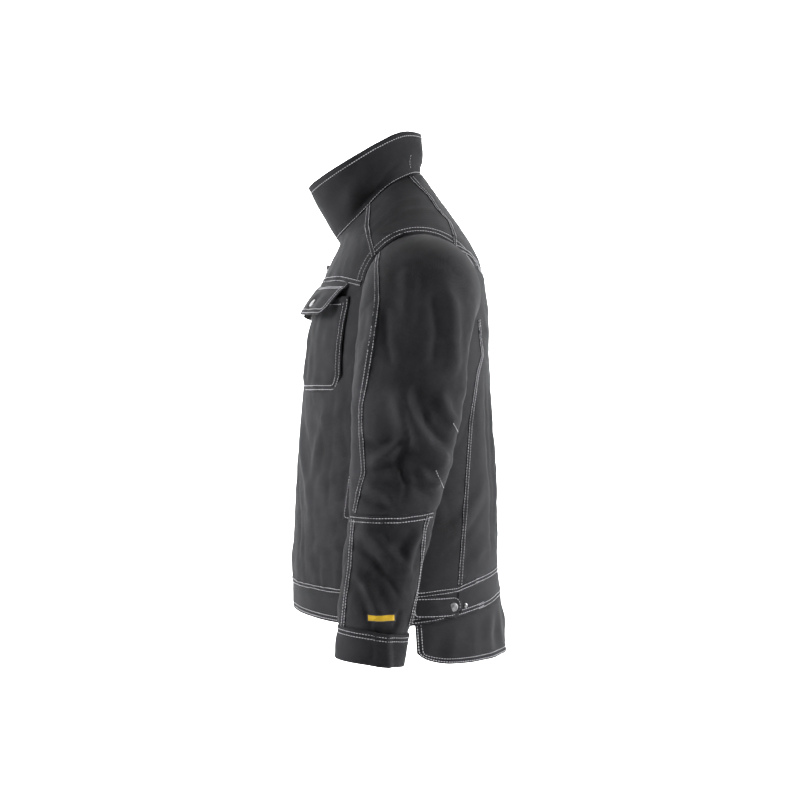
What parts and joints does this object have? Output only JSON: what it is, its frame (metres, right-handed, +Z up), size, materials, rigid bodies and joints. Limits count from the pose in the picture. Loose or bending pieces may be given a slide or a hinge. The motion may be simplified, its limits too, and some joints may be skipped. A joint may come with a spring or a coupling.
{
  "type": "work jacket",
  "caption": "Heavy stitched work jacket with stand collar, front zip, flapped chest pockets, snap waist tabs and a drop tail.",
  "frame": {"origin": "middle of the flat underside of the hanger loop's bar, inside the back of the neck, where a hook bears", "axes": "+Z up, front of the jacket towards -Y, wearer's left towards +X"},
  "size_m": [0.72, 0.3306, 0.7938],
  "materials": {
    "canvas": "heavy woven twill, matt, light grey double stitching",
    "lining": "quilted lining",
    "zip_tape": "woven tape",
    "label": "plain woven label",
    "patch": "plain woven patch with a dark edge",
    "snap_metal": "dark nickel",
    "zip_metal": "satin nickel"
  },
  "bodies": {
    "torso": {"front_yoke_left": "canvas", "front_yoke_right": "canvas", "shoulder_left": "canvas", "shoulder_right": "canvas", "front_panel_left": "canvas", "front_panel_right": "canvas", "back_side_left": "canvas", "back_side_right": "canvas", "waistband_front_left": "canvas", "waistband_front_right": "canvas", "chest_pocket_left": "canvas", "chest_pocket_right": "canvas", "chest_stud_left": "snap_metal", "chest_stud_right": "snap_metal", "waist_stud_left": "snap_metal", "waist_stud_right": "snap_metal", "spare_stud_left": "snap_metal", "spare_stud_right": "snap_metal", "zip_tape_left": "zip_tape", "zip_tape_right": "zip_tape", "hand_pocket_welt_left": "canvas", "hand_pocket_welt_right": "canvas", "back_yoke": "canvas", "back_panel": "canvas", "waistband_back": "canvas", "back_tail": "canvas", "body_lining": "lining", "collar_shell": "canvas", "collar_facing": "lining", "hanger_loop": "zip_tape", "neck_label": "label", "zip_teeth": "zip_metal", "zip_box": "zip_metal", "wind_guard": "lining"},
    "zip_slider": {"zip_slider": "zip_metal"},
    "zip_puller": {"zip_puller": "zip_metal"},
    "arm_left": {"upper_sleeve_left": "canvas"},
    "forearm_left": {"forearm_sleeve_left": "canvas", "cuff_left": "canvas", "sleeve_patch": "patch"},
    "chest_flap_left": {"chest_flap_left": "canvas", "chest_snap_left": "snap_metal"},
    "waist_tab_left": {"waist_tab_left": "canvas", "waist_snap_left": "snap_metal"},
    "arm_right": {"upper_sleeve_right": "canvas"},
    "forearm_right": {"forearm_sleeve_right": "canvas", "cuff_right": "canvas"},
    "chest_flap_right": {"chest_flap_right": "canvas", "chest_snap_right": "snap_metal"},
    "waist_tab_right": {"waist_tab_right": "canvas", "waist_snap_right": "snap_metal"}
  },
  "joints": [
    {"name": "shoulder_left", "type": "hinge", "parent": "torso", "child": "arm_left", "pos_m": [0.231, 0.0155, -0.2074], "axis": [-1, 0, 0], "range_deg": [-15, 70]},
    {"name": "elbow_left", "type": "hinge", "parent": "arm_left", "child": "forearm_left", "pos_m": [0.299, -0.0465, -0.5204], "axis": [-1, 0, 0], "range_deg": [0, 50]},
    {"name": "chest_flap_left", "type": "hinge", "parent": "torso", "child": "chest_flap_left", "pos_m": [0.1118, -0.12288, -0.19216], "axis": [-0.9459, -0.3215, 0.0434], "range_deg": [0, 102]},
    {"name": "waist_tab_left", "type": "hinge", "parent": "torso", "child": "waist_tab_left", "pos_m": [0.2215, 0.006, -0.6609], "axis": [0, 0, -1], "range_deg": [0, 80]},
    {"name": "shoulder_right", "type": "hinge", "parent": "torso", "child": "arm_right", "pos_m": [-0.231, 0.0155, -0.2074], "axis": [-1, 0, 0], "range_deg": [-15, 70]},
    {"name": "elbow_right", "type": "hinge", "parent": "arm_right", "child": "forearm_right", "pos_m": [-0.299, -0.0465, -0.5204], "axis": [-1, 0, 0], "range_deg": [0, 50]},
    {"name": "chest_flap_right", "type": "hinge", "parent": "torso", "child": "chest_flap_right", "pos_m": [-0.1118, -0.12288, -0.19216], "axis": [-0.9459, 0.3215, -0.0434], "range_deg": [0, 102]},
    {"name": "waist_tab_right", "type": "hinge", "parent": "torso", "child": "waist_tab_right", "pos_m": [-0.2215, 0.006, -0.6609], "axis": [0, 0, 1], "range_deg": [0, 80]},
    {"name": "zip_run", "type": "hinge", "parent": "torso", "child": "zip_slider", "pos_m": [0, 1.5685, -0.6144], "axis": [1, 0, 0], "range_deg": [0, 15.9]},
    {"name": "zip_pull", "type": "hinge", "parent": "zip_slider", "child": "zip_puller", "pos_m": [0, -0.12753, -0.15557], "axis": [-1, 0, 0], "range_deg": [0, 150]}
  ]
}
